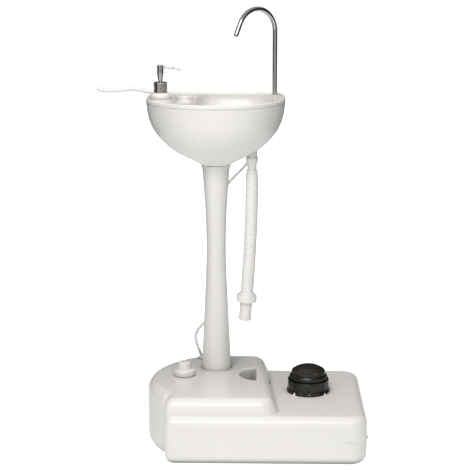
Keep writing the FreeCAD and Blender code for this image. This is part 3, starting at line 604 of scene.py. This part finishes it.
def pump_dome():
    low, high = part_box("pump_dome")
    foot = (low.z - DECK) / MM
    head = (high.z - DECK) / MM
    reach = (high.x - low.x) / 2 / MM
    stud_mm = 5.8
    stud_height_mm = 1.5

    def relief(angle, radius, height):
        if radius < 2 or height < foot + 4:
            return 0
        band = math.floor(radius / stud_mm)
        count = max(6, round(TURN * (band + 0.5)))
        along = math.sin(math.pi * radius / stud_mm) ** 2
        return stud_height_mm * along * math.sin(count * angle / 2) ** 2

    crown = head - 1.0
    corners = [(0, crown - 5), (reach * 0.55, crown - 7), (reach - 7, foot + 3), (reach - 7, foot),
               (reach - 0.6, foot, 1), (reach - 0.8, foot + 4.5, 2.5),
               (reach - 7.5, foot + 9.5, 4), (reach * 0.5, crown - 1.4, 8), (0, crown)]
    points, faces = turned(corners, sides=432, step=0.65, relief=relief)
    piece("pump_tread", placed(points, PUMP_BASE), faces, "black_rubber", "pump_pedal",
          ["pump_dome"], 60)


def squashed_copy(node, name):
    """A spring as a mesh piece with a mesh of its own, copied from its CAD node."""
    mesh = nodes[node].data.copy()
    slot = [part["material_slot"] for part in frame["record"]["subparts"] if part["node"] == node][0]
    body = "soap_bottle" if node.startswith("soap") else "stand"
    spring = settle(name, mesh, slot, body, [node])
    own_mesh(spring)


pump_collar()
pump_bellows()
pump_dome()
squashed_copy("pump_spring", "pump_return_spring")
squashed_copy("soap_spring", "soap_return_spring")


# ---- hose --------------------------------------------------------------------------------------

hose_route = [(0.085, 0, 0.640), (0.085, 0, 0.570), (0.0825, 0.001, 0.490), (0.0785, 0.001, 0.410),
              (0.0735, 0.002, 0.339)]


HOSE_PEAK = 0.0155


def hose_skin(line):
    """The corrugated wall, narrower where it leaves the cuff."""
    depth = 0.0012
    wide_pitch = 0.0068
    close_pitch = 0.0055
    neck_run = 0.022
    neck_in = 0.002

    def radius_at(distance, total):
        share = distance / total
        pitch = wide_pitch + (close_pitch - wide_pitch) * share / 2
        wave = math.cos(TURN * distance / pitch)
        body = HOSE_PEAK - neck_in * max(0, 1 - distance / neck_run)
        return body - depth * (0.5 - 0.5 * math.copysign(abs(wave) ** 0.7, wave))

    points, faces = sleeve(line, radius_at, 0.0006, sides=48)
    return piece("drain_hose_corrugated", points, faces, "hose_plastic", "stand", ["drain_hose"], 60)


def hose_end(line):
    """The scalloped coupling and the plain pipe on the hose's free end."""
    end = line[-1]
    up = (line[-2] - line[-1]).normalized()
    turn = Vector((0, 0, 1)).rotation_difference(up).to_matrix()
    scallops = 12
    scallop_mm = 0.8

    def relief(angle, radius, height):
        if radius > 22 and -16 < height < -2:
            return -scallop_mm * max(0, math.cos(scallops * angle)) ** 3
        return 0

    corners = [(12.6, -17.5), (15.2, -17.5), (23.2, -18.4, 1.2), (24.6, -16.2, 1.2),
               (24.6, -3.4, 1.5), (22.8, -1.2, 1.5), (17.5, 1.2, 2), (15.9, 4, 1),
               (15.6, 7.5, 0.5), (12.6, 7.5)]
    points, faces = turned(corners, closed=True, sides=192, step=1.2, relief=relief)
    collar = piece("hose_coupling", placed(points, end, turn), faces, "hose_plastic", "stand",
                   ["hose_collar"])
    corners = [(12.6, -64.7), (13.9, -64.7, 0.4), (14.9, -63.4, 0.8), (14.9, -58, 0.3),
               (14.6, -57.4, 0.3), (14.6, -22, 1), (14.4, -20), (14.4, -3.3), (12.6, -3.3)]
    points, faces = turned(corners, closed=True, sides=96, step=2)
    pipe = piece("hose_outlet_pipe", placed(points, end, turn), faces, "hose_plastic", "stand",
                 ["hose_pipe"])
    return collar, pipe


def hose_cuff():
    low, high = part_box("hose_cuff")
    top = (high.z - low.z) / MM
    corners = [(8.6, 0), (13.6, 0, 0.5), (13.4, 1.8, 0.6), (10.6, 3.2, 1), (11.2, top - 17, 4),
               (14.2, top - 8, 3), (14.2, top - 0.6, 0.8), (12.5, top), (12.5, top - 13),
               (8.6, top - 13)]
    points, faces = turned(corners, closed=True, sides=96, step=2)
    base = Vector((hose_route[0][0], hose_route[0][1], low.z))
    return piece("hose_top_cuff", placed(points, base), faces, "hose_plastic", "stand", ["hose_cuff"])


def hose():
    line = smooth_line(hose_route)
    skin = hose_skin(line)
    collar, pipe = hose_end(line)
    cuff = hose_cuff()
    length = sum((after - here).length for here, after in zip(line, line[1:]))
    [list(spot) for spot in line]


hose()


# ---- supply tube -------------------------------------------------------------------------------

supply_route = [(-0.041, 0.072, 0.163), (-0.056, 0.067, 0.200), (-0.051, 0.051, 0.232),
                (-0.026, 0.031, 0.261), (-0.006, 0.012, 0.292), (0, 0.003, 0.335),
                (0.002, 0.005, 0.562), (0.013, 0.014, 0.588), (0.035, 0.029, 0.613),
                (0.076, 0.041, 0.652), (0.094, 0.050, 0.684), (0.105, 0.058, 0.716),
                (0.1264, 0.0823, 0.7422), (0.1365, 0.0929, 0.7684)]


def supply_tube():
    radius = 0.004
    line = smooth_line(supply_route)
    points, faces = sleeve(line, lambda distance, total: radius, 0.003, sides=28, bore=0.00275)
    piece("supply_tube_clear", points, faces, "clear_tube", "stand", ["supply_tube"])


supply_tube()


# ---- faucet ------------------------------------------------------------------------------------

def faucet():
    foot = middle("faucet_shank")
    low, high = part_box("faucet_spout")
    radius = 0.00525
    bend = 0.055
    facing = math.radians(39)
    sweep = math.radians(155)
    arc_steps = 48
    last_straight = 0.032
    lip = 0.0006
    ahead = Vector((-math.cos(facing), -math.sin(facing), 0))
    up = Vector((0, 0, 1))
    start = Vector((foot.x, foot.y, high.z - radius - bend))
    centre = start + ahead * bend
    line = [Vector((foot.x, foot.y, low.z + 0.001)), start]
    for number in range(1, arc_steps + 1):
        angle = sweep * number / arc_steps
        line.append(centre - ahead * bend * math.cos(angle) + up * bend * math.sin(angle))
    heading = ahead * math.sin(sweep) + up * math.cos(sweep)
    line.append(line[-1] + heading * last_straight)

    def radius_at(distance, total):
        left = total - distance
        return radius - lip * (1 - left / lip) if left < lip else radius

    points, faces = sleeve(line, radius_at, 0.0015, sides=64, bore=0.0041)
    piece("gooseneck", points, faces, "bright_metal", "spout", ["faucet_spout"], 50)


faucet()


# ---- soap dispenser ----------------------------------------------------------------------------

SOAP = middle("soap_bottle")


def soap_collar():
    low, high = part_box("soap_collar")
    top = (high.z - low.z) / MM
    flutes = 14
    flute_mm = 0.9
    fade_mm = 1.2

    def relief(angle, radius, height):
        if radius > 14.5 and 1 < height < top - 1:
            fade = min(1, (height - 1) / fade_mm, (top - 1 - height) / fade_mm)
            return -flute_mm * fade * abs(math.cos(flutes * angle / 2)) ** 0.8
        return 0

    corners = [(12.3, 0), (15.2, 0, 0.4), (15.7, 1.2, 0.5), (15.7, top - 1, 1),
               (13.6, top - 0.1, 0.6), (7.6, top, 0.4), (6.8, top - 0.6, 0.3), (6.8, 10), (12.3, 10)]
    points, faces = turned(corners, closed=True, sides=336, step=0.8, relief=relief)
    base = Vector((SOAP.x, SOAP.y, low.z))
    piece("soap_collar_fluted", placed(points, base), faces, "bright_metal", "soap_bottle",
          ["soap_collar"], 50)


def soap_head():
    low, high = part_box("soap_head")
    tall = (high.z - low.z) / MM
    socket = 16
    corners = [(0, socket), (3.1, socket), (3.1, 0), (4.7, 0, 0.4), (4.9, 3, 0.5), (5.2, 7, 3),
               (6.5, 15, 4), (7.2, 21, 3), (7.2, tall - 1.5, 1.4), (5.5, tall, 1.2), (0, tall)]
    points, faces = turned(corners, sides=96, step=1)
    base = Vector((SOAP.x, SOAP.y, low.z))
    spots = placed(points, base)
    root = Vector((SOAP.x + 0.003, SOAP.y, high.z - 0.0052))
    tip = Vector((high.x - 0.0002, SOAP.y, high.z - 0.0112))
    route = [root, root.lerp(tip, 0.35) + Vector((0, 0, 0.0016)),
             root.lerp(tip, 0.72) + Vector((0, 0, 0.0020)), tip]
    thick = 0.0025
    thick_share = 0.16
    thin = 0.0020
    taper = 0.0003

    def radius_at(distance, total):
        share = distance / total
        return thick if share < thick_share else thin - taper * share

    more, more_faces = sleeve(smooth_line(route), radius_at, 0.0008, sides=32)
    first = len(spots)
    faces = faces + [tuple(first + index for index in face) for face in more_faces]
    piece("soap_pump_head", spots + more, faces, "bright_metal", "soap_head", ["soap_head"], 50)


soap_collar()
soap_head()


# ---- towel bar ---------------------------------------------------------------------------------

towel_route = [(-0.118, 0.0975, 0.81235), (-0.166, 0.0975, 0.81385), (-0.193, 0.098, 0.824),
               (-0.275, 0.098, 0.815), (-0.288, 0.098, 0.8235)]


def towel_bar():
    line = smooth_line(towel_route)
    points, faces = sleeve(line, round_ended(radius=0.0043, nose=0.003), 0.0007, sides=40)
    piece("towel_rod", points, faces, "white_plastic", "stand", ["towel_bar"])


towel_bar()


# ---- studio ------------------------------------------------------------------------------------

def sheet_of(name, centre, size, normal, material):
    """A flat rectangle of the studio, facing along normal."""
    half_x, half_y = size[0] / 2, size[1] / 2
    corners = [(-half_x, -half_y, 0), (half_x, -half_y, 0), (half_x, half_y, 0), (-half_x, half_y, 0)]
    mesh = bpy.data.meshes.new(name)
    mesh.from_pydata(corners, [], [(0, 1, 2, 3)])
    mesh.materials.append(material)
    thing = bpy.data.objects.new(name, mesh)
    thing.location = centre
    thing.rotation_euler = Vector(normal).to_track_quat("Z", "Y").to_euler()
    bpy.context.collection.objects.link(thing)
    return thing


def plain(name, colour):
    """A matt, even studio paint that gives no light of its own."""
    material = bpy.data.materials.new(name)
    material.use_nodes = True
    shader = material.node_tree.nodes["Principled BSDF"]
    shader.inputs["Base Color"].default_value = (*colour, 1)
    shader.inputs["Roughness"].default_value = 0.9
    shader.inputs["Emission Color"].default_value = (1, 1, 1, 1)
    shader.inputs["Emission Strength"].default_value = 0.0
    return material


LAMP_COLOUR = (1.0, 0.965, 0.945)
card_paint = plain("card_black", (0.01, 0.01, 0.01))


def seen_or_lit(tree, seen, lit):
    """A strength that is one value to the camera and another as a light on the sink."""
    path = tree.nodes.new("ShaderNodeLightPath")
    return span(tree, (path, "Is Camera Ray"), lit, seen)


def card(name, centre, size, normal, only_gloss=False):
    """A dark card beside the sink: it shades the sides and shows in the bright metal.

    only_gloss leaves out the shading.
    """
    thing = sheet_of(name, centre, size, normal, card_paint)
    thing.visible_camera = False
    thing.visible_shadow = False
    thing.visible_diffuse = not only_gloss
    return thing


def area_light(name, spot, target, size, power, in_gloss=True):
    """A warm rectangular lamp at spot that points at target; in_gloss shows it in reflections."""
    lamp = bpy.data.lights.new(name, "AREA")
    lamp.shape = "RECTANGLE"
    lamp.size, lamp.size_y = size
    lamp.energy = power
    lamp.color = LAMP_COLOUR
    thing = bpy.data.objects.new(name, lamp)
    thing.location = spot
    aim = Vector(target) - Vector(spot)
    thing.visible_glossy = in_gloss
    thing.rotation_euler = aim.to_track_quat("-Z", "Y").to_euler()
    bpy.context.collection.objects.link(thing)


def white_floor():
    """A white floor: fully bright in the picture, softer as a light on the sink."""
    paint = plain("floor_white", (0.75, 0.75, 0.75))
    tree = paint.node_tree
    level = seen_or_lit(tree, seen=1.0, lit=0.34)
    shader = tree.nodes["Principled BSDF"]
    tree.links.new(level.outputs["Result"], shader.inputs["Emission Strength"])
    sheet_of("floor", (0, 0, -0.0005), (14, 14), (0, 0, 1), paint)


def white_room():
    """A white world: fully bright behind the sink, softer as a light on it."""
    world = bpy.data.worlds.new("room")
    bpy.context.scene.world = world
    world.use_nodes = True
    tree = world.node_tree
    shader = tree.nodes["Background"]
    shader.inputs["Color"].default_value = (1, 1, 1, 1)
    level = seen_or_lit(tree, seen=1.0, lit=0.48)
    tree.links.new(level.outputs["Result"], shader.inputs["Strength"])
    bpy.context.scene.view_settings.view_transform = "Standard"
    bpy.context.scene.view_settings.look = "None"


white_floor()
card("card_left", (-1.05, 0.35, 0.9), (2.2, 1.9), (1, -0.2, 0))
card("card_right", (1.05, 0.35, 0.9), (2.2, 1.7), (-1, -0.25, 0))
card("card_back", (0.1, 1.7, 0.8), (3.2, 2.0), (0, -1, 0))
card("card_stripe", (0.78, -2.2, 1.0), (0.34, 2.4), (-0.3, 1, 0), only_gloss=True)
area_light("key", (-0.35, -2.2, 2.5), (0.1, -0.1, 0.4), (1.5, 0.8), 42)
area_light("top", (0.1, -0.4, 6.0), (0.1, 0, 0.1), (3.2, 2.0), 125, in_gloss=False)
white_room()
